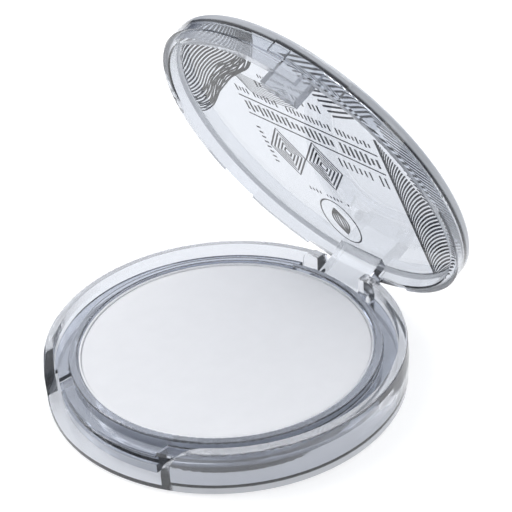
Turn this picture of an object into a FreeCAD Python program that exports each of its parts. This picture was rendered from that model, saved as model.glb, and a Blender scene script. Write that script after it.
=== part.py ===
import FreeCAD, Part
import Sketcher
import os

# A clear round powder compact: a shallow base cup that carries a seat frame
# with a glued-in pan of pressed powder, and a dish-shaped lid that turns on
# two moulded trunnions at the back, with a snap tab that comes down over a
# catch block at the front.
#
# Millimetres. Z is up, -Y is the front with the catch, +Y the hinge side.
# The origin is the centre of the underside. The lid is drawn shut and its
# placement then opens it to the rest angle.

DIMENSIONS = {
    # base cup
    "cup_radius": 36.5,
    "rim_radius": 36.1,
    "foot_radius": 36.25,
    "wall_inside": 34.4,
    "rim_height": 9.0,
    "shoulder_height": 5.6,
    "foot_rise": 0.25,
    "floor_thickness": 1.2,
    "rim_rounding": 0.45,
    "foot_rounding": 0.15,
    "shoulder_rounding": 9.0,
    # thumb notch in the front of the cup's wall
    "notch_half": 18.0,
    "notch_side_height": 3.4,
    "notch_rounding": 5.6,
    # seat frame
    "seat_inside": 29.75,
    "seat_outside": 31.4,
    "seat_bottom": 1.22,
    "seat_top": 7.5,
    "seat_floor": 2.2,
    "deck_radius": 34.3,
    "deck_bottom": 5.2,
    "deck_top": 6.1,
    "deck_gap_half": 15.2,
    "deck_hinge_half": 10.8,
    "seat_rounding": 0.35,
    # catch block in front of the seat
    "catch_half": 14.9,
    "catch_radius": 33.8,
    "catch_top": 5.2,
    "lip_bottom": 4.8,
    "groove_bottom": 3.1,
    "groove_radius": 33.2,
    # pan, glue and powder
    "pan_radius": 29.5,
    "pan_sheet": 0.35,
    "pan_bottom": 2.35,
    "pan_top": 6.95,
    "pan_corner": 0.6,
    "powder_radius": 29.13,
    "powder_top": 6.6,
    "powder_edge": 0.25,
    "glue_radius": 22.0,
    # hinge
    "hinge_back": 34.1,
    "hinge_height": 4.05,
    "lug_half": 5.9,
    "slot_half": 6.1,
    "lug_reach": 2.2,
    "lug_front_top": 31.1,
    "trunnion_radius": 1.2,
    "trunnion_length": 1.6,
    "bore_radius": 1.26,
    "bore_depth": 1.9,
    "ear_width": 4.4,
    "ear_front": 32.5,
    "ear_back": 34.7,
    "ear_dome": 5.3,
    "ear_rounding": 2.4,
    "recess_radius": 5.7,
    "recess_half": 14.8,
    # lid
    "lid_radius": 36.6,
    "lid_inside": 34.7,
    "lid_rim": 9.1,
    "lid_top": 13.9,
    "lid_panel": 1.5,
    "lid_edge_rounding": 1.3,
    "lid_inner_rounding": 0.9,
    "lid_rim_bevel": 0.3,
    "skirt_inside": 34.9,
    "skirt_outside": 36.4,
    "skirt_half": 15.6,
    "skirt_bottom": 7.0,
    "tab_from": 10.4,
    "tab_width": 6.6,
    "tab_inside": 34.15,
    "tab_outside": 35.6,
    "tab_bottom": 4.35,
    "hook_radius": 33.95,
    "hook_top": 4.75,
    "grip_radius": 37.1,
    "grip_from": 8.6,
    "grip_width": 13.8,
    "grip_top": 13.0,
    "grip_rounding": 0.5,
    # how far the lid stands open at rest, degrees
    "open_angle": 62.4,
}

MARGIN = "5"      # how far a cutting tool runs past what it cuts

doc = FreeCAD.newDocument("PowderCompact")


def build_sheet():
    """Put the driving dimensions in a spreadsheet, one aliased cell each."""
    cells = doc.addObject("Spreadsheet::Sheet", "Dims")
    for row, (alias, value) in enumerate(DIMENSIONS.items(), start=1):
        cells.set("A%d" % row, alias)
        cells.set("B%d" % row, str(value))
        cells.setAlias("B%d" % row, alias)
    doc.recompute()
    return cells


sheet = build_sheet()


def linked(formula):
    """The formula with each dimension's name pointing at the sheet."""
    words = formula.split()
    return " ".join("Dims." + word if word in DIMENSIONS else word for word in words)


def number(formula):
    """The formula's present value."""
    return float(sheet.evalExpression(linked(formula)))


# ---------------------------------------------------------------- features

def bind(item, **sizes):
    """Tie properties of a feature to formulas in the sheet's dimensions."""
    for name, formula in sizes.items():
        item.setExpression(name, linked(formula))


def place(item, x="0", y="0", z="0"):
    """Tie a feature's position to formulas."""
    for axis, formula in zip("xyz", (x, y, z)):
        item.setExpression("Placement.Base." + axis, linked(formula))


def box(name, low, size):
    """A block from its low corner, with its size along X, Y and Z."""
    item = doc.addObject("Part::Box", name)
    bind(item, Length=size[0], Width=size[1], Height=size[2])
    place(item, *low)
    return item


def disc(name, radius, bottom, height):
    """An upright cylinder on the compact's own axis."""
    item = doc.addObject("Part::Cylinder", name)
    bind(item, Radius=radius, Height=height)
    place(item, z=bottom)
    return item


def hinge_rod(name, radius, start, length):
    """A cylinder along X on the hinge line, from X = start."""
    item = doc.addObject("Part::Cylinder", name)
    bind(item, Radius=radius, Height=length)
    item.Placement.Rotation = FreeCAD.Rotation(FreeCAD.Vector(0, 1, 0), 90)
    place(item, start, "hinge_back", "hinge_height")
    return item


def cut(name, base, tool):
    """What is left of base when tool is taken away."""
    item = doc.addObject("Part::Cut", name)
    item.Base = base
    item.Tool = tool
    return item


def fuse(name, *pieces):
    """All pieces as one solid."""
    item = doc.addObject("Part::MultiFuse", name)
    item.Shapes = list(pieces)
    item.Refine = True
    return item


def common(name, *pieces):
    """What all pieces share."""
    item = doc.addObject("Part::MultiCommon", name)
    item.Shapes = list(pieces)
    return item


def origin_plane(body, role):
    """One of a body's own origin planes."""
    return [item for item in body.Origin.OriginFeatures if item.Role == role][0]


def fix_point(sketch, line, end, x, y):
    """Hold a sketch point at two formulas, or on an axis where one is 0."""
    x_axis, y_axis, root = -1, -2, 1
    for kind, formula, axis in (("DistanceX", x, y_axis), ("DistanceY", y, x_axis)):
        if formula == "0":
            sketch.addConstraint(Sketcher.Constraint("PointOnObject", line, end, axis))
            continue
        rule = Sketcher.Constraint(kind, -1, root, line, end, number(formula))
        index = sketch.addConstraint(rule)
        sketch.setExpression("Constraints[%d]" % index, linked(formula))


def outline_sketch(body, role, points):
    """A closed outline of straight lines through the points."""
    sketch = body.newObject("Sketcher::SketchObject", body.Name + "_outline")
    sketch.AttachmentSupport = (origin_plane(body, role), [""])
    sketch.MapMode = "FlatFace"
    corners = [FreeCAD.Vector(number(x), number(y), 0) for x, y in points]
    count = len(points)
    for index, corner in enumerate(corners):
        sketch.addGeometry(Part.LineSegment(corner, corners[(index + 1) % count]), False)
    for index in range(count):
        rule = Sketcher.Constraint("Coincident", index, 2, (index + 1) % count, 1)
        sketch.addConstraint(rule)
    for index, (x, y) in enumerate(points):
        fix_point(sketch, index, 1, x, y)
    return sketch


def turned(name, points):
    """A body turned about Z from a closed outline of (radius, height) points."""
    body = doc.addObject("PartDesign::Body", name)
    sketch = outline_sketch(body, "XZ_Plane", points)
    turn = body.newObject("PartDesign::Revolution", name + "_turn")
    turn.Profile = sketch
    turn.ReferenceAxis = (sketch, ["V_Axis"])
    turn.Angle = 360
    sketch.Visibility = False
    body.Tip = turn
    doc.recompute()
    return body


def round_rings(body, radius, rings):
    """Round the circular edges that lie at the given (radius, height) pairs."""
    base = body.Tip
    wanted = [(number(ring), number(level)) for ring, level in rings]
    names = []
    for index, edge in enumerate(base.Shape.Edges, start=1):
        if not isinstance(edge.Curve, Part.Circle):
            continue
        found = (edge.Curve.Radius, edge.Curve.Center.z)
        if any(abs(found[0] - r) < 1e-4 and abs(found[1] - z) < 1e-4 for r, z in wanted):
            names.append("Edge%d" % index)
    rounding = body.newObject("PartDesign::Fillet", body.Name + "_round")
    rounding.Base = (base, names)
    bind(rounding, Radius=radius)
    body.Tip = rounding
    doc.recompute()
    return body


# ---------------------------------------------------------------- base

def cup_blank():
    """The cup before its cut-outs: floor, foot and wall."""
    cup = turned("cup_blank", [
        ("0", "0"),
        ("foot_radius", "0"),
        ("cup_radius", "foot_rise"),
        ("cup_radius", "shoulder_height"),
        ("rim_radius", "rim_height"),
        ("wall_inside", "rim_height"),
        ("wall_inside", "floor_thickness"),
        ("0", "floor_thickness"),
    ])
    round_rings(cup, "shoulder_rounding", [("cup_radius", "shoulder_height")])
    round_rings(cup, "rim_rounding", [("rim_radius", "rim_height")])
    return round_rings(cup, "foot_rounding", [("cup_radius", "foot_rise")])


def thumb_notch():
    """The space cut from the front wall, its two upper corners well rounded."""
    depth = "cup_radius + " + MARGIN
    tall = "rim_height + " + MARGIN
    pieces = [box("notch_middle", ("- notch_half", "- ( " + depth + " )", "floor_thickness"),
                  ("2 * notch_half", depth, tall))]
    for side, sign in (("left", "- "), ("right", "")):
        centre = sign + "( notch_half + notch_rounding )"
        low = "- ( notch_half + notch_rounding )" if side == "left" else "notch_half"
        corner = box("notch_corner_" + side, (low, "- ( " + depth + " )", "notch_side_height"),
                     ("notch_rounding", depth, tall))
        round_end = doc.addObject("Part::Cylinder", "notch_round_" + side)
        round_end.Placement.Rotation = FreeCAD.Rotation(FreeCAD.Vector(1, 0, 0), 90)
        bind(round_end, Radius="notch_rounding", Height=depth + " + 1")
        place(round_end, centre, "1", "notch_side_height")
        pieces.append(cut("notch_side_" + side, corner, round_end))
    return fuse("thumb_notch", *pieces)


def ear_corner(side, sign, low):
    """What is trimmed from an ear to round its outer top corner."""
    deep = "ear_back - ear_front + 2"
    top = "hinge_height + ear_dome"
    corner = box("ear_corner_" + side, (low, "ear_front - 1", top + " - ear_rounding"),
                 ("ear_rounding", deep, "ear_rounding"))
    bead = doc.addObject("Part::Cylinder", "ear_bead_" + side)
    bead.Placement.Rotation = FreeCAD.Rotation(FreeCAD.Vector(1, 0, 0), 90)
    bind(bead, Radius="ear_rounding", Height=deep + " + 2")
    place(bead, sign + "( slot_half + ear_width - ear_rounding )", "ear_back + 2",
          top + " - ear_rounding")
    return cut("ear_trim_" + side, corner, bead)


def hinge_ears():
    """Two blocks beside the slot, domed about the hinge line and rounded outside."""
    ears = []
    for side, low in (("left", "- ( slot_half + ear_width )"), ("right", "slot_half")):
        block = box("ear_block_" + side, (low, "ear_front", "floor_thickness - 0.2"),
                    ("ear_width", "ear_back - ear_front", "rim_height + 1"))
        dome = hinge_rod("ear_dome_" + side, "ear_dome", low, "ear_width")
        sign = "- " if side == "left" else ""
        outer = low if side == "left" else "slot_half + ear_width - ear_rounding"
        trim = ear_corner(side, sign, outer)
        ears.append(cut("ear_" + side, common("ear_blank_" + side, block, dome), trim))
    return ears


def base_shell():
    """The clear cup, with the thumb notch, the hinge slot and the ears."""
    solid = fuse("cup_with_ears", cup_blank(), *hinge_ears())
    slot = box("hinge_slot", ("- slot_half", "ear_front - 1", "floor_thickness"),
               ("2 * slot_half", "10", "rim_height + " + MARGIN))
    bore = hinge_rod("trunnion_bores", "bore_radius", "- ( slot_half + bore_depth )",
                     "2 * ( slot_half + bore_depth )")
    shell = cut("base_shell", solid, fuse("shell_cutouts", thumb_notch(), slot, bore))
    return shell


def catch_block():
    """The raised block behind the lid's hook, with a groove under its lip."""
    ring = turned("catch_ring", [
        ("seat_inside + 1", "seat_bottom"),
        ("catch_radius", "seat_bottom"),
        ("catch_radius", "groove_bottom"),
        ("groove_radius", "groove_bottom"),
        ("groove_radius", "lip_bottom"),
        ("catch_radius", "lip_bottom"),
        ("catch_radius", "catch_top"),
        ("seat_inside + 1", "catch_top"),
    ])
    front = box("catch_window", ("- catch_half", "- ( cup_radius )", "0"),
                ("2 * catch_half", "cup_radius", "rim_height"))
    return common("catch_block", ring, front)


def seat_frame():
    """The inner moulding: pan seat, channel deck and catch block."""
    seat = turned("seat_blank", [
        ("0", "seat_bottom"),
        ("seat_outside", "seat_bottom"),
        ("seat_outside", "deck_bottom"),
        ("deck_radius", "deck_bottom"),
        ("deck_radius", "deck_top"),
        ("seat_outside", "deck_top"),
        ("seat_outside", "seat_top"),
        ("seat_inside", "seat_top"),
        ("seat_inside", "seat_floor"),
        ("0", "seat_floor"),
    ])
    round_rings(seat, "seat_rounding", [("seat_outside", "seat_top"),
                                        ("seat_inside", "seat_top"),
                                        ("seat_outside", "deck_top")])
    reach = "cup_radius + " + MARGIN
    gap = box("deck_gap_front", ("- deck_gap_half", "- ( " + reach + " )", "deck_bottom - 0.1"),
              ("2 * deck_gap_half", reach, "deck_top - deck_bottom + 0.5"))
    back = box("deck_gap_back", ("- deck_hinge_half", "0", "deck_bottom - 0.1"),
               ("2 * deck_hinge_half", reach, "deck_top - deck_bottom + 0.5"))
    keep = disc("seat_keep", "seat_outside", "0", "rim_height")
    gaps = cut("deck_gaps", fuse("deck_gap_pair", gap, back), keep)
    trim = box("deck_trim_box", ("- notch_half", "- ( " + reach + " )", "deck_bottom - 0.1"),
               ("2 * notch_half", reach, "deck_top - deck_bottom + 0.5"))
    trim_keep = disc("deck_trim_keep", "catch_radius", "0", "rim_height")
    trims = cut("deck_trim", trim, trim_keep)
    opened = cut("seat_opened", seat, fuse("seat_cutouts", gaps, trims))
    return fuse("seat_frame", opened, catch_block())


def powder_pan():
    """The shallow pressed metal pan."""
    inside = "pan_radius - pan_sheet"
    inner_floor = "pan_bottom + pan_sheet"
    pan = turned("powder_pan", [
        ("0", "pan_bottom"),
        ("pan_radius", "pan_bottom"),
        ("pan_radius", "pan_top"),
        (inside, "pan_top"),
        (inside, inner_floor),
        ("0", inner_floor),
    ])
    return round_rings(pan, "pan_corner", [("pan_radius", "pan_bottom")])


def pressed_powder():
    """The cake of powder that fills the pan."""
    bottom = "pan_bottom + pan_sheet"
    cake = turned("pressed_powder", [
        ("0", bottom),
        ("powder_radius", bottom),
        ("powder_radius", "powder_top"),
        ("0", "powder_top"),
    ])
    return round_rings(cake, "powder_edge", [("powder_radius", "powder_top")])


def pan_adhesive():
    """The disc of glue between the pan and its seat."""
    return disc("pan_adhesive", "glue_radius", "seat_floor", "pan_bottom - seat_floor")


# ---------------------------------------------------------------- lid

def lid_blank():
    """The lid's dish, opening downwards."""
    ceiling = "lid_top - lid_panel"
    lid = turned("lid_blank", [
        ("0", ceiling),
        ("lid_inside", ceiling),
        ("lid_inside", "lid_rim + lid_rim_bevel"),
        ("lid_inside + lid_rim_bevel", "lid_rim"),
        ("lid_radius - lid_rim_bevel", "lid_rim"),
        ("lid_radius", "lid_rim + lid_rim_bevel"),
        ("lid_radius", "lid_top"),
        ("0", "lid_top"),
    ])
    round_rings(lid, "lid_edge_rounding", [("lid_radius", "lid_top")])
    return round_rings(lid, "lid_inner_rounding", [("lid_inside", ceiling)])


def ring_piece(name, points, low_x, width):
    """A stretch of a turned ring in the front half, between two X limits."""
    ring = turned(name + "_ring", points)
    window = box(name + "_window", (low_x, "- ( cup_radius + " + MARGIN + " )", "0"),
                 (width, "cup_radius + " + MARGIN, "lid_top + " + MARGIN))
    return common(name, ring, window)


def front_skirt():
    """The curved apron that fills the top of the thumb notch."""
    top = "lid_rim + 0.6"
    return ring_piece("front_skirt", [
        ("skirt_inside", "skirt_bottom"),
        ("skirt_outside", "skirt_bottom"),
        ("skirt_outside", top),
        ("skirt_inside", top),
    ], "- skirt_half", "2 * skirt_half")


def snap_tab():
    """The springy tongue, with a small inward hook that ends just clear of the lip."""
    top = "lid_top - lid_panel + 0.2"
    tongue = ring_piece("snap_tongue", [
        ("tab_inside", "tab_bottom"),
        ("tab_outside", "tab_bottom"),
        ("tab_outside", top),
        ("tab_inside", top),
    ], "tab_from", "tab_width")
    hook = ring_piece("snap_hook", [
        ("hook_radius", "tab_bottom"),
        ("tab_inside + 0.3", "tab_bottom"),
        ("tab_inside + 0.3", "hook_top + 0.35"),
        ("tab_inside", "hook_top + 0.35"),
        ("hook_radius", "hook_top"),
    ], "tab_from", "catch_half - tab_from")
    return [tongue, hook]


def thumb_grip():
    """A low raised pad on the outside of the lid's wall."""
    ring = turned("thumb_grip_ring", [
        ("lid_inside + 0.6", "lid_rim + 0.2"),
        ("grip_radius", "lid_rim + 0.2"),
        ("grip_radius", "grip_top"),
        ("lid_inside + 0.6", "grip_top"),
    ])
    round_rings(ring, "grip_rounding", [("grip_radius", "lid_rim + 0.2"),
                                        ("grip_radius", "grip_top")])
    window = box("thumb_grip_window", ("grip_from", "- ( cup_radius + " + MARGIN + " )", "0"),
                 ("grip_width", "cup_radius + " + MARGIN, "lid_top"))
    return common("thumb_grip", ring, window)


def hinge_lug():
    """The block that carries the lid down to the hinge line, round at its foot."""
    body = doc.addObject("PartDesign::Body", "lug_block")
    front = "hinge_back - lug_reach"
    rear = "hinge_back + lug_reach"
    ceiling = "lid_top - lid_panel + 0.2"
    sketch = outline_sketch(body, "YZ_Plane", [
        ("lug_front_top", ceiling),
        (front, "rim_height - 1"),
        (front, "hinge_height"),
        (rear, "hinge_height"),
        (rear, ceiling),
    ])
    pad = body.newObject("PartDesign::Pad", "lug_block_pad")
    pad.Profile = sketch
    pad.Midplane = True
    bind(pad, Length="2 * lug_half")
    sketch.Visibility = False
    body.Tip = pad
    barrel = hinge_rod("lug_barrel", "lug_reach", "- lug_half", "2 * lug_half")
    return fuse("hinge_lug", body, barrel)


def lid_shell():
    """The whole lid, as one moulding."""
    recesses = [hinge_rod("rim_recess_left", "recess_radius", "- recess_half",
                          "recess_half - lug_half"),
                hinge_rod("rim_recess_right", "recess_radius", "lug_half",
                          "recess_half - lug_half")]
    dish = cut("lid_dish", lid_blank(), fuse("rim_recesses", *recesses))
    trunnions = hinge_rod("trunnions", "trunnion_radius", "- ( lug_half + trunnion_length )",
                          "2 * ( lug_half + trunnion_length )")
    shell = fuse("lid_shell", dish, front_skirt(), thumb_grip(), hinge_lug(), trunnions,
                 *snap_tab())
    return shell


def open_lid(lid):
    """Turn the finished lid about the hinge line to the rest angle."""
    turn = FreeCAD.Rotation(FreeCAD.Vector(1, 0, 0), -number("open_angle"))
    centre = FreeCAD.Vector(0, number("hinge_back"), number("hinge_height"))
    lid.Placement = FreeCAD.Placement(FreeCAD.Vector(0, 0, 0), turn, centre)


# ---------------------------------------------------------------- output

def check(parts):
    """Stop if any feature failed or any finished solid is not sound."""
    for item in doc.Objects:
        bad = [state for state in item.State if state in ("Invalid", "Error")]
        if bad:
            raise RuntimeError("%s is %s" % (item.Name, ", ".join(bad)))
    for part in parts:
        shape = part.Shape
        if shape.isNull() or not shape.isValid() or len(shape.Solids) != 1:
            raise RuntimeError("%s is not one sound solid" % part.Label)


def main():
    """Build every part, test it and write one STEP file for each."""
    lid = lid_shell()
    parts = [base_shell(), seat_frame(), powder_pan(), pressed_powder(), pan_adhesive(), lid]
    doc.recompute()
    open_lid(lid)
    doc.recompute()
    check(parts)
    os.makedirs("parts", exist_ok=True)
    for part in parts:
        part.Shape.exportStep("parts/%s.step" % part.Label)
        span = part.Shape.BoundBox
        print("%-16s volume %9.1f  z %6.2f to %6.2f  y %6.2f to %6.2f"
              % (part.Label, part.Shape.Volume, span.ZMin, span.ZMax, span.YMin, span.YMax))


main()
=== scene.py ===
import math
import random

import bmesh
import bpy
from mathutils import Matrix, Vector


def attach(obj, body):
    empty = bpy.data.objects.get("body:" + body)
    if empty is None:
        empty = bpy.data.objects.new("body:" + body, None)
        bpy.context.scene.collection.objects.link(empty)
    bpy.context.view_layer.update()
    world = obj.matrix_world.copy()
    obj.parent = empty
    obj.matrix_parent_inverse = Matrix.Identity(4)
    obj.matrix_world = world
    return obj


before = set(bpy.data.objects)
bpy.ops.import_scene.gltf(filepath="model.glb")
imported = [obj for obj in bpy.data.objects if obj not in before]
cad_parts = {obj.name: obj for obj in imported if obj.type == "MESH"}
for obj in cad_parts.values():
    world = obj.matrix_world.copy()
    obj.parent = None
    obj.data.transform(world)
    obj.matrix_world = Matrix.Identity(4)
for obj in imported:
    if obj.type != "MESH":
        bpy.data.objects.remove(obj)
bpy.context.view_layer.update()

# Sizes of the compact and its print are in millimetres.
# The stage, the lights and the bump distances are in metres.
MM = 0.001                            # one millimetre in metres
OPEN_DEG = 62.4                       # how far the lid stands open at rest
HINGE = Vector((0, 34.1, 4.05))       # a point on the hinge line
LID_FACE = 13.9                       # height of the shut lid's outer face
INK_LOW = LID_FACE - 0.034            # the ink lies between these two heights
INK_HIGH = LID_FACE - 0.008
PRINT_RADIUS = 35.2                   # the print stops where the lid's edge rounds off

# where the clear plastic is cloudy, and how clear it stays there
APRON_TOP = 9.05                      # just under the shut lid's rim
APRON_BACK = -25.0                    # the apron and tab lie in front of this
APRON_CLARITY = 0.72
LID_EDGE_LOW = 12.2                   # the lid's rounded outer edge, when shut
LID_EDGE_INSIDE = 35.3                # the radius where that cloudy edge begins
FOOT_TOP = 1.5                        # the foot's cloudy band, from the ground to here
FOOT_INSIDE = 36.0                    # a radius just inside the base's outer face
NOTCH_BACK = -31.0                    # in front of this the foot stays clear
EDGE_CLARITY = 0.4
CATCH_FACE = 33.72                    # just inside the radius of the catch block's face
CATCH_FACE_TOP = 3.0
CATCH_CLARITY = 0.25

# from shut-lid millimetres to the rest pose in metres
LID_TO_REST = (Matrix.Scale(MM, 4) @ Matrix.Translation(HINGE)
               @ Matrix.Rotation(math.radians(-OPEN_DEG), 4, "X") @ Matrix.Translation(-HINGE))


# ---------------------------------------------------------------- materials

def new_material(name):
    """A node material with its Principled shader."""
    mat = bpy.data.materials.new(name)
    mat.use_nodes = True
    return mat, mat.node_tree, mat.node_tree.nodes["Principled BSDF"]


def add_node(tree, kind, **inputs):
    """A node with some of its sockets set; double underscores stand for spaces."""
    node = tree.nodes.new(kind)
    for key, value in inputs.items():
        node.inputs[key.replace("__", " ")].default_value = value
    return node


def object_coords(tree, scale=(1, 1, 1)):
    """Object coordinates, stretched."""
    coords = tree.nodes.new("ShaderNodeTexCoord")
    mapping = tree.nodes.new("ShaderNodeMapping")
    mapping.inputs["Scale"].default_value = scale
    tree.links.new(coords.outputs["Object"], mapping.inputs["Vector"])
    return mapping.outputs["Vector"]


def noise_field(tree, vector, scale, detail=4.0, roughness=0.5):
    """A noise value."""
    field = add_node(tree, "ShaderNodeTexNoise", Scale=scale, Detail=detail, Roughness=roughness)
    tree.links.new(vector, field.inputs["Vector"])
    return field.outputs["Fac"]


def ranged(tree, value, low, high, from_low=0.3, from_high=0.7):
    """A value mapped onto a range."""
    node = tree.nodes.new("ShaderNodeMapRange")
    node.inputs["From Min"].default_value = from_low
    node.inputs["From Max"].default_value = from_high
    node.inputs["To Min"].default_value = low
    node.inputs["To Max"].default_value = high
    tree.links.new(value, node.inputs["Value"])
    return node.outputs["Result"]


def add_bump(tree, shader, height, strength, distance):
    """Bump from a height value."""
    bump = add_node(tree, "ShaderNodeBump", Strength=strength, Distance=distance)
    tree.links.new(height, bump.inputs["Height"])
    tree.links.new(bump.outputs["Normal"], shader.inputs["Normal"])


def clear_plastic(name, tint, clarity, rough_low, rough_high, ripple, ior=1.5):
    """Polished clear styrene: a little haze, slight flow ripples and faint handling marks."""
    mat, tree, shader = new_material(name)
    shader.inputs["Base Color"].default_value = (*tint, 1)
    shader.inputs["Transmission Weight"].default_value = clarity
    shader.inputs["IOR"].default_value = ior
    vector = object_coords(tree)
    wear = noise_field(tree, vector, 900.0, detail=6.0, roughness=0.65)
    tree.links.new(ranged(tree, wear, rough_low, rough_high), shader.inputs["Roughness"])
    flow = noise_field(tree, object_coords(tree, (1, 1, 0.6)), 120.0, detail=2.0, roughness=0.4)
    add_bump(tree, shader, flow, strength=ripple, distance=0.0004)
    return mat


def soften_gloss(mat, level):
    """Lower a material's mirror-like reflection."""
    mat.node_tree.nodes["Principled BSDF"].inputs["Specular IOR Level"].default_value = level


def frost_where(mat, masks, clarity):
    """Cloud a clear plastic where all the masks are 1, on top of what is cloudy already."""
    tree = mat.node_tree
    total = masks[0]
    for mask in masks[1:]:
        both = tree.nodes.new("ShaderNodeMath")
        both.operation = "MULTIPLY"
        tree.links.new(total, both.inputs[0])
        tree.links.new(mask, both.inputs[1])
        total = both.outputs["Value"]
    socket = tree.nodes["Principled BSDF"].inputs["Transmission Weight"]
    level = add_node(tree, "ShaderNodeMapRange", To__Min=socket.default_value, To__Max=clarity)
    if socket.is_linked:
        tree.links.new(socket.links[0].from_socket, level.inputs["To Min"])
    tree.links.new(total, level.inputs["Value"])
    tree.links.new(level.outputs["Result"], socket)


def along(tree, direction):
    """How far object coordinates lie along a direction, in metres."""
    dot = tree.nodes.new("ShaderNodeVectorMath")
    dot.operation = "DOT_PRODUCT"
    dot.inputs[1].default_value = direction
    tree.links.new(object_coords(tree), dot.inputs[0])
    return dot.outputs["Value"]


def lid_axes():
    """The resting lid's own origin, its up direction and its direction to the rear."""
    turn = LID_TO_REST.to_3x3().normalized()
    origin = LID_TO_REST @ Vector((0, 0, 0))
    return origin, turn @ Vector((0, 0, 1)), turn @ Vector((0, 1, 0))


def frost_apron(mat):
    """Make the lid's apron and tab, below the rim at the front, a little cloudy."""
    tree = mat.node_tree
    start, up, rear = lid_axes()
    top = up.dot(start) + APRON_TOP * MM
    back = rear.dot(start) + APRON_BACK * MM
    below = ranged(tree, along(tree, up), 1, 0, top - 0.1 * MM, top)
    ahead = ranged(tree, along(tree, rear), 1, 0, back - 1.0 * MM, back)
    frost_where(mat, [below, ahead], APRON_CLARITY)


def distance_from_axis(tree, point, direction):
    """How far object coordinates lie from a line, in metres."""
    offset = tree.nodes.new("ShaderNodeVectorMath")
    offset.operation = "SUBTRACT"
    offset.inputs[1].default_value = point
    tree.links.new(object_coords(tree), offset.inputs[0])
    onto = tree.nodes.new("ShaderNodeVectorMath")
    onto.operation = "PROJECT"
    onto.inputs[1].default_value = direction
    tree.links.new(offset.outputs["Vector"], onto.inputs[0])
    gap = tree.nodes.new("ShaderNodeVectorMath")
    gap.operation = "DISTANCE"
    tree.links.new(offset.outputs["Vector"], gap.inputs[0])
    tree.links.new(onto.outputs["Vector"], gap.inputs[1])
    return gap.outputs["Value"]


def frost_catch(mat):
    """Make the lower front face of the catch block cloudy white."""
    tree = mat.node_tree
    radius = distance_from_axis(tree, (0, 0, 0), (0, 0, 1))
    outside = ranged(tree, radius, 0, 1, CATCH_FACE * MM, (CATCH_FACE + 0.04) * MM)
    height = along(tree, (0, 0, 1))
    below = ranged(tree, height, 1, 0, CATCH_FACE_TOP * MM, (CATCH_FACE_TOP + 0.12) * MM)
    frost_where(mat, [outside, below], CATCH_CLARITY)


def frost_lid_edge(mat):
    """Make the rounded outer edge of the lid cloudy."""
    tree = mat.node_tree
    start, up, _ = lid_axes()
    level = up.dot(start) + LID_EDGE_LOW * MM
    high = ranged(tree, along(tree, up), 0, 1, level - 0.4 * MM, level)
    radius = distance_from_axis(tree, start, up)
    outside = ranged(tree, radius, 0, 1, LID_EDGE_INSIDE * MM, (LID_EDGE_INSIDE + 0.6) * MM)
    frost_where(mat, [high, outside], EDGE_CLARITY)


def frost_foot(mat):
    """Make the lowest band of the base's outer wall cloudy, except at the thumb notch."""
    tree = mat.node_tree
    radius = distance_from_axis(tree, (0, 0, 0), (0, 0, 1))
    outside = ranged(tree, radius, 0, 1, FOOT_INSIDE * MM, (FOOT_INSIDE + 0.2) * MM)
    height = along(tree, (0, 0, 1))
    low = ranged(tree, height, 1, 0, FOOT_TOP * MM, (FOOT_TOP + 0.2) * MM)
    depth = along(tree, (0, 1, 0))
    behind_notch = ranged(tree, depth, 0, 1, NOTCH_BACK * MM, (NOTCH_BACK + 0.4) * MM)
    frost_where(mat, [outside, low, behind_notch], EDGE_CLARITY)


def powder_material():
    """Fine pressed white powder with a faint grain."""
    mat, tree, shader = new_material("pressed_powder_white")
    vector = object_coords(tree)
    mottling = noise_field(tree, vector, 260.0, detail=5.0, roughness=0.6)
    ramp = tree.nodes.new("ShaderNodeValToRGB")
    ramp.color_ramp.elements[0].position = 0.35
    ramp.color_ramp.elements[0].color = (0.775, 0.78, 0.80, 1)
    ramp.color_ramp.elements[1].position = 0.65
    ramp.color_ramp.elements[1].color = (0.79, 0.795, 0.815, 1)
    tree.links.new(mottling, ramp.inputs["Fac"])
    tree.links.new(ramp.outputs["Color"], shader.inputs["Base Color"])
    shader.inputs["Roughness"].default_value = 0.92
    shader.inputs["Specular IOR Level"].default_value = 0.2
    shader.inputs["Sheen Weight"].default_value = 0.08
    grain = noise_field(tree, vector, 5200.0, detail=3.0, roughness=0.7)
    add_bump(tree, shader, grain, strength=0.25, distance=0.00008)
    return mat


def pan_material():
    """Bright pressed sheet metal with faint drawing lines."""
    mat, tree, shader = new_material("pan_bright_sheet")
    shader.inputs["Base Color"].default_value = (0.90, 0.905, 0.92, 1)
    shader.inputs["Metallic"].default_value = 0.8
    lines = noise_field(tree, object_coords(tree, (1, 1, 14)), 700.0, detail=3.0, roughness=0.6)
    tree.links.new(ranged(tree, lines, 0.38, 0.55), shader.inputs["Roughness"])
    add_bump(tree, shader, lines, strength=0.12, distance=0.00005)
    return mat


def glue_material():
    """Cloudy dried adhesive."""
    mat, tree, shader = new_material("dried_glue")
    vector = object_coords(tree)
    cloud = noise_field(tree, vector, 300.0, detail=4.0, roughness=0.6)
    ramp = tree.nodes.new("ShaderNodeValToRGB")
    ramp.color_ramp.elements[0].color = (0.70, 0.69, 0.62, 1)
    ramp.color_ramp.elements[1].color = (0.86, 0.85, 0.80, 1)
    tree.links.new(cloud, ramp.inputs["Fac"])
    tree.links.new(ramp.outputs["Color"], shader.inputs["Base Color"])
    tree.links.new(ranged(tree, cloud, 0.35, 0.6), shader.inputs["Roughness"])
    return mat


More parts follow.
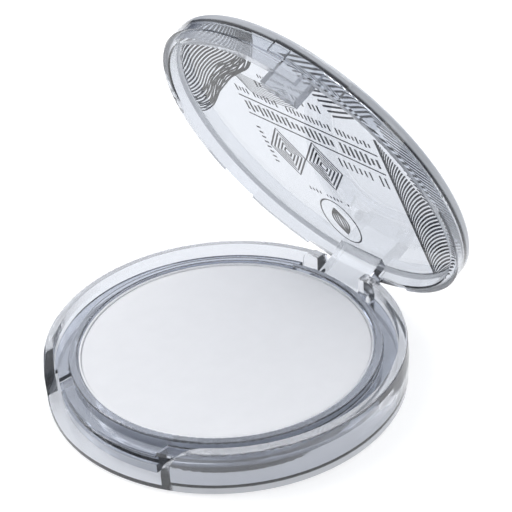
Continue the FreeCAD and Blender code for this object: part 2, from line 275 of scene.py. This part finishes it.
def ink_material():
    """Dark screen-printed ink, a little uneven in gloss and depth."""
    mat, tree, shader = new_material("print_ink")
    vector = object_coords(tree)
    patch = noise_field(tree, vector, 1500.0, detail=3.0, roughness=0.6)
    ramp = tree.nodes.new("ShaderNodeValToRGB")
    ramp.color_ramp.elements[0].color = (0.004, 0.005, 0.010, 1)
    ramp.color_ramp.elements[1].color = (0.012, 0.014, 0.024, 1)
    tree.links.new(patch, ramp.inputs["Fac"])
    tree.links.new(ramp.outputs["Color"], shader.inputs["Base Color"])
    tree.links.new(ranged(tree, patch, 0.45, 0.7), shader.inputs["Roughness"])
    shader.inputs["Specular IOR Level"].default_value = 0.25
    return mat


def dress(obj, mat):
    """Give every slot of an object one material."""
    if not obj.material_slots:
        obj.data.materials.append(mat)
    for item in obj.material_slots:
        item.material = mat


# ---------------------------------------------------------------- print

# Points of the print are x and y on the shut lid, seen from above, with the hinge at +y.

def clip_to_disc(points, radius):
    """The runs of a polyline that lie inside a circle about the origin."""
    runs = []
    run = []
    for point in points:
        if math.hypot(*point) <= radius:
            run.append(point)
            continue
        if len(run) > 1:
            runs.append(run)
        run = []
    if len(run) > 1:
        runs.append(run)
    return runs


def add_strip(bm, points, width, closed=False):
    """A thin closed ribbon of ink along a polyline, just under the lid's outer skin."""
    count = len(points)
    rings = []
    for index, (x, y) in enumerate(points):
        before = points[index - 1] if (index > 0 or closed) else points[index]
        after = points[(index + 1) % count] if (index < count - 1 or closed) else points[index]
        heading = Vector((after[0] - before[0], after[1] - before[1]))
        if heading.length < 1e-9:
            heading = Vector((1, 0))
        heading.normalize()
        half = (width[index] if isinstance(width, list) else width) / 2
        side = Vector((-heading.y, heading.x)) * half
        corners = [(x + side.x, y + side.y, INK_LOW), (x - side.x, y - side.y, INK_LOW),
                   (x - side.x, y - side.y, INK_HIGH), (x + side.x, y + side.y, INK_HIGH)]
        rings.append([bm.verts.new(LID_TO_REST @ Vector(corner)) for corner in corners])
    last = count if closed else count - 1
    for index in range(last):
        a, b = rings[index], rings[(index + 1) % count]
        for k in range(4):
            n = (k + 1) % 4
            bm.faces.new((a[k], a[n], b[n], b[k]))
    if not closed:
        bm.faces.new(rings[0][::-1])
        bm.faces.new(rings[-1])


def smooth_path(points, samples=60):
    """A Catmull-Rom curve through control points."""
    padded = [points[0]] + list(points) + [points[-1]]
    spans = len(points) - 1
    path = []
    for index in range(samples + 1):
        place = index / samples * spans
        k = min(int(place), spans - 1)
        t = place - k
        p0, p1, p2, p3 = (Vector(p) for p in padded[k:k + 4])
        path.append(0.5 * ((2 * p1) + (p2 - p0) * t + (2 * p0 - 5 * p1 + 4 * p2 - p3) * t * t
                           + (3 * p1 - p0 - 3 * p2 + p3) * t ** 3))
    return [(p.x, p.y) for p in path]


def mix(a, b, t):
    """Part of the way from a to b."""
    return a + (b - a) * t


def mix_paths(first, second, t):
    """A polyline between two others of the same length."""
    return [(mix(a[0], b[0], t), mix(a[1], b[1], t)) for a, b in zip(first, second)]


def wave_field(bm):
    """The flowing lines that cover the lid's front left, woven at their inner border."""
    inner = smooth_path([(-40, 1.5), (-33.5, -0.5), (-27, -5.0), (-21.5, -11.5), (-16, -16.5),
                         (-10.5, -20.0), (-6.5, -23.5), (-1, -31), (3, -38)])
    outer = smooth_path([(-44, -20), (-39, -22), (-34.5, -25.5), (-30, -29), (-25.5, -32),
                         (-21, -35), (-15, -38), (-8, -41), (0, -44)])
    lines = 29
    for index in range(lines):
        t = index / (lines - 1)
        path = mix_paths(inner, outer, t ** 1.15)
        swing = 0.18 * (1 - t) ** 6
        ripple = [swing * math.sin(k * 0.30 + index * 1.2) for k in range(len(path))]
        path = [(x + step, y + step) for (x, y), step in zip(path, ripple)]
        for run in clip_to_disc(path, PRINT_RADIUS):
            add_strip(bm, run, mix(0.34, 0.44, min(1, 2 * t)))
    crossing_lines = 8
    for index in range(crossing_lines):
        weave = [0.018 + 0.022 * index + 0.016 * math.sin(k * 0.38 + index * 2.1)
                 for k in range(len(inner))]
        path = [(mix(a[0], b[0], t), mix(a[1], b[1], t)) for a, b, t in zip(inner, outer, weave)]
        for run in clip_to_disc(path, PRINT_RADIUS):
            add_strip(bm, run, 0.24)


def wedge_border(x):
    """Where the right wedge's rear hatch stops at the front, as y at a given x."""
    knots = [(21.4, -14.5), (24.5, -9.0), (27.5, -2.5), (30.5, 5.5), (33.0, 13.0), (36.0, 20.0)]
    for (x0, y0), (x1, y1) in zip(knots, knots[1:]):
        if x <= x1:
            return mix(y0, y1, (x - x0) / (x1 - x0))
    return knots[-1][1]


def right_wedge(bm):
    """The ribbon of hatch lines between a straight chord and the lid's right edge."""
    chord_x = 21.4
    rear_lines = 50
    front_lines = 32
    add_strip(bm, [(chord_x, mix(-14.5, 28.2, k / 80)) for k in range(81)], 0.7)
    for index in range(rear_lines):
        start = mix(-13.0, 40.0, index / (rear_lines - 1))
        path = smooth_path([(chord_x, start), (chord_x + 1.2, start - 2.9),
                            (chord_x + 3.3, start - 6.3), (chord_x + 6.2, start - 9.6),
                            (chord_x + 10, start - 12.4), (chord_x + 14, start - 14.6)], 60)
        path = [p for p in path if p[1] > wedge_border(p[0])]
        widths = [mix(0.26, 0.5, min(1, (p[0] - chord_x) / 7)) for p in path]
        kept = [k for k, p in enumerate(path) if math.hypot(*p) <= PRINT_RADIUS]
        if len(kept) > 1:
            add_strip(bm, [path[k] for k in kept], [widths[k] for k in kept])
    for index in range(front_lines):
        t = index / (front_lines - 1)
        start = (mix(22.4, 33.0, t) - 0.9 * math.sin(math.pi * t), mix(-23.6, 13.0, t))
        path = smooth_path([start, (start[0] + 3.0, start[1] + 1.8), (start[0] + 6.8, start[1] + 3.6),
                            (start[0] + 11, start[1] + 4.8)], 30)
        for run in clip_to_disc(path, PRINT_RADIUS):
            add_strip(bm, run, 0.5)


def front_stripes(bm):
    """Bold stripes at the front right and thin arcs to their left."""
    stripes = 12
    for index in range(stripes):
        y = -17.0 - 1.15 * index
        left = mix(12.4, 4.5, index / (stripes - 1))
        path = smooth_path([(left, y), (mix(left, 23, 0.5), y - 1.7), (23.4, y - 4.3)], 24)
        for run in clip_to_disc(path, PRINT_RADIUS):
            add_strip(bm, run, 0.55)
    thin_arcs = 9
    for index in range(thin_arcs):
        y = -20.4 + 0.58 * index
        path = smooth_path([(-15.5 + 0.5 * index, y - 1.2), (-10, y + 0.8), (-4, y + 1.5),
                            (1.5, y + 1.0)], 30)
        add_strip(bm, path, 0.2)


def tick_row(bm, x0, x1, y0, y1, tall, pitch, seed, weight):
    """A row of plain upright dashes of uneven heights, a few of them left out."""
    rng = random.Random(seed)
    count = int((x1 - x0) / pitch)
    for index in range(count):
        if rng.random() < 0.13:
            continue
        t = (index + 0.5) / count
        x = mix(x0, x1, t)
        y = mix(y0, y1, t)
        size = tall * rng.choice((0.6, 0.8, 1.0, 1.0))
        add_strip(bm, [(x, y - size / 2), (x, y + size / 2)], weight)


def ellipse(cx, cy, rx, ry, count=72):
    """Points round an ellipse."""
    return [(cx + rx * math.cos(2 * math.pi * k / count), cy + ry * math.sin(2 * math.pi * k / count))
            for k in range(count)]


def diamond(cx, cy, half_wide, half_tall, steps=8):
    """Points round an upright diamond."""
    corners = [(cx + half_wide, cy), (cx, cy + half_tall), (cx - half_wide, cy), (cx, cy - half_tall)]
    points = []
    for (x0, y0), (x1, y1) in zip(corners, corners[1:] + corners[:1]):
        points += [(mix(x0, x1, k / steps), mix(y0, y1, k / steps)) for k in range(steps)]
    return points


# rows of dashes: x from and to, y from and to, height, pitch, seed, line width
DASH_ROWS = [
    (-15.0, 20.0, -9.7, -6.7, 3.2, 1.25, 3, 0.62),
    (-15.2, 19.6, -14.7, -11.8, 1.9, 0.95, 5, 0.45),
    (-7.6, 9.5, -18.5, -17.4, 2.2, 1.05, 7, 0.50),
    (-5.5, 7.5, -21.2, -20.4, 1.0, 0.7, 9, 0.34),
    (7.2, 20.0, -2.0, -1.0, 3.2, 1.25, 13, 0.45),
    (-8.2, 3.4, 13.7, 14.3, 1.2, 0.95, 11, 0.42),
]
BADGE_X = -2.9                        # the middle of the oval badge


def marks(bm):
    """Rules, dashes, nested diamonds and a plain oval badge: neutral filler for the label area."""
    add_strip(bm, [(-15.4, -12.4), (20.2, -9.4)], 0.45)
    add_strip(bm, [(-15.4, -7.0), (20.2, -4.0)], 0.45)
    for row in DASH_ROWS:
        tick_row(bm, *row)
    for centre in (-8.9, 1.3):
        for ring in range(1, 6):
            outline = diamond(centre, 2.6, ring, 1.48 * ring)
            add_strip(bm, outline, 0.42, closed=True)
    for k in range(8):
        add_strip(bm, [(-15.6, -2.6 + 1.55 * k), (-14.4, -2.6 + 1.55 * k)], 0.6)
    add_strip(bm, ellipse(BADGE_X, 23.0, 5.1, 7.3), 0.42, closed=True)
    for spread in (0.5, 1.3, 2.1):
        leaf = [(BADGE_X + spread * math.sin(math.pi * k / 16), mix(18.4, 27.6, k / 16))
                for k in range(17)]
        add_strip(bm, leaf, 0.5)
        add_strip(bm, [(2 * BADGE_X - x, y) for x, y in leaf], 0.5)


def print_piece(name, painters):
    """One object of ink strips on the lid."""
    bm = bmesh.new()
    for painter in painters:
        painter(bm)
    bmesh.ops.recalc_face_normals(bm, faces=bm.faces)
    mesh = bpy.data.meshes.new(name)
    bm.to_mesh(mesh)
    bm.free()
    obj = bpy.data.objects.new(name, mesh)
    bpy.context.scene.collection.objects.link(obj)
    dress(obj, INK)
    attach(obj, "lid")


# ---------------------------------------------------------------- stage

def area_light(name, place, target, size, power):
    """A square white softbox that faces a point, in metres and watts."""
    lamp = bpy.data.lights.new(name, "AREA")
    lamp.shape = "SQUARE"
    lamp.size = size
    lamp.energy = power
    obj = bpy.data.objects.new(name, lamp)
    obj.location = place
    obj.rotation_euler = (Vector(target) - Vector(place)).to_track_quat("-Z", "Y").to_euler()
    bpy.context.scene.collection.objects.link(obj)


def make_floor():
    """A plain round table with a soft white glow, a little below the base."""
    radius = 3.0
    drop = 0.0004
    bm = bmesh.new()
    bmesh.ops.create_circle(bm, cap_ends=True, segments=64, radius=radius)
    mesh = bpy.data.meshes.new("floor")
    bm.to_mesh(mesh)
    bm.free()
    obj = bpy.data.objects.new("floor", mesh)
    obj.location.z = -drop
    bpy.context.scene.collection.objects.link(obj)
    mat, _, shader = new_material("floor_white")
    shader.inputs["Base Color"].default_value = (0.6, 0.6, 0.6, 1)
    shader.inputs["Roughness"].default_value = 0.9
    shader.inputs["Specular IOR Level"].default_value = 0.0
    shader.inputs["Emission Color"].default_value = (1, 1, 1, 1)
    shader.inputs["Emission Strength"].default_value = 0.52
    dress(obj, mat)


def toward(tree, coords, direction):
    """How far each direction in the sky points a given way, from -1 to 1."""
    dot = tree.nodes.new("ShaderNodeVectorMath")
    dot.operation = "DOT_PRODUCT"
    dot.inputs[1].default_value = direction
    tree.links.new(coords.outputs["Generated"], dot.inputs[0])
    return dot.outputs["Value"]


def colour_socket(sockets, name):
    """A Mix node's colour socket of a given name."""
    return [socket for socket in sockets if socket.name == name and socket.type == "RGBA"][0]


def make_world():
    """Pale surroundings, dark near the horizon except behind the hinge, so that clear edges read."""
    world = bpy.data.worlds.new("studio")
    bpy.context.scene.world = world
    world.use_nodes = True
    tree = world.node_tree
    background = tree.nodes["Background"]
    coords = tree.nodes.new("ShaderNodeTexCoord")
    ramp = tree.nodes.new("ShaderNodeValToRGB")
    tree.links.new(toward(tree, coords, (0, 0, 1)), ramp.inputs["Fac"])
    stops = ramp.color_ramp.elements
    stops[0].position = 0.0
    stops[0].color = (0.09, 0.10, 0.13, 1)
    stops[1].position = 0.60
    stops[1].color = (0.97, 0.98, 1.0, 1)
    for position, colour in ((0.16, (0.24, 0.26, 0.32, 1)), (0.36, (0.78, 0.81, 0.87, 1))):
        stops.new(position).color = colour
    blend = tree.nodes.new("ShaderNodeMix")
    blend.data_type = "RGBA"
    hinge_side = toward(tree, coords, (0.3, 0.95, 0.0))
    tree.links.new(ranged(tree, hinge_side, 0, 0.9, 0.1, 0.8), blend.inputs["Factor"])
    tree.links.new(ramp.outputs["Color"], colour_socket(blend.inputs, "A"))
    colour_socket(blend.inputs, "B").default_value = (0.86, 0.89, 0.95, 1)
    tree.links.new(colour_socket(blend.outputs, "Result"), background.inputs["Color"])
    # the side that the camera looks from is the dimmest
    front_right = toward(tree, coords, (0.7, -0.7, 0.0))
    strength = ranged(tree, front_right, 1.02, 0.66, -1, 1)
    tree.links.new(strength, background.inputs["Strength"])


def make_camera():
    """A long lens, looking down on the front right of the compact."""
    turn = math.radians(48.40)
    lift = math.radians(31.76)
    roll = math.radians(-2.87)
    # back along the view from the origin, then to the picture's right and up, in millimetres
    distance, across_by, up_by = 222.6, 6.03, 21.83
    back = Vector((math.sin(turn) * math.cos(lift), -math.cos(turn) * math.cos(lift), math.sin(lift)))
    right = (-back).cross(Vector((0, 0, 1))).normalized()
    up = right.cross(-back)
    across = math.cos(roll) * right + math.sin(roll) * up
    upward = -math.sin(roll) * right + math.cos(roll) * up
    place = (back * distance + across * across_by + upward * up_by) * MM
    camera = bpy.data.cameras.new("camera")
    camera.lens = 76.66
    camera.sensor_width = 36.0
    camera.shift_x = -0.0034
    camera.shift_y = 0.0105
    camera.clip_start = 0.01
    camera.clip_end = 20
    obj = bpy.data.objects.new("camera", camera)
    basis = Matrix((across, upward, back)).transposed().to_4x4()
    obj.matrix_world = Matrix.Translation(place) @ basis
    bpy.context.scene.collection.objects.link(obj)
    bpy.context.scene.camera = obj


# ---------------------------------------------------------------- assembly

INK = ink_material()
BASE_PLASTIC = clear_plastic("clear_base_plastic", tint=(0.82, 0.84, 0.885), clarity=0.96,
                             rough_low=0.02, rough_high=0.05, ripple=0.22)
frost_foot(BASE_PLASTIC)
SEAT_PLASTIC = clear_plastic("clear_seat_plastic", tint=(0.66, 0.69, 0.755), clarity=0.95,
                             rough_low=0.03, rough_high=0.07, ripple=0.45)
frost_catch(SEAT_PLASTIC)
LID_PLASTIC = clear_plastic("clear_lid_plastic", tint=(0.66, 0.685, 0.73), clarity=0.97,
                            rough_low=0.01, rough_high=0.03, ripple=0.03, ior=1.42)
frost_apron(LID_PLASTIC)
frost_lid_edge(LID_PLASTIC)
soften_gloss(LID_PLASTIC, 0.2)

FINISHES = {
    "base_shell": BASE_PLASTIC,
    "seat_frame": SEAT_PLASTIC,
    "lid_shell": LID_PLASTIC,
    "pressed_powder": powder_material(),
    "powder_pan": pan_material(),
    "pan_adhesive": glue_material(),
}
for node, finish in FINISHES.items():
    dress(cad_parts[node], finish)

print_piece("lid_print_lines", [wave_field, right_wedge, front_stripes])
print_piece("lid_print_marks", [marks])

make_floor()
make_world()
area_light("key", (-0.35, -0.25, 0.55), target=(0, 0, 0.01), size=0.35, power=1.9)
area_light("back", (-0.10, 0.55, 0.40), target=(0, 0, 0.03), size=0.30, power=1.1)
area_light("side", (0.55, 0.05, 0.30), target=(0, 0, 0.03), size=0.25, power=0.5)
make_camera()
bpy.context.scene.view_settings.view_transform = "Standard"
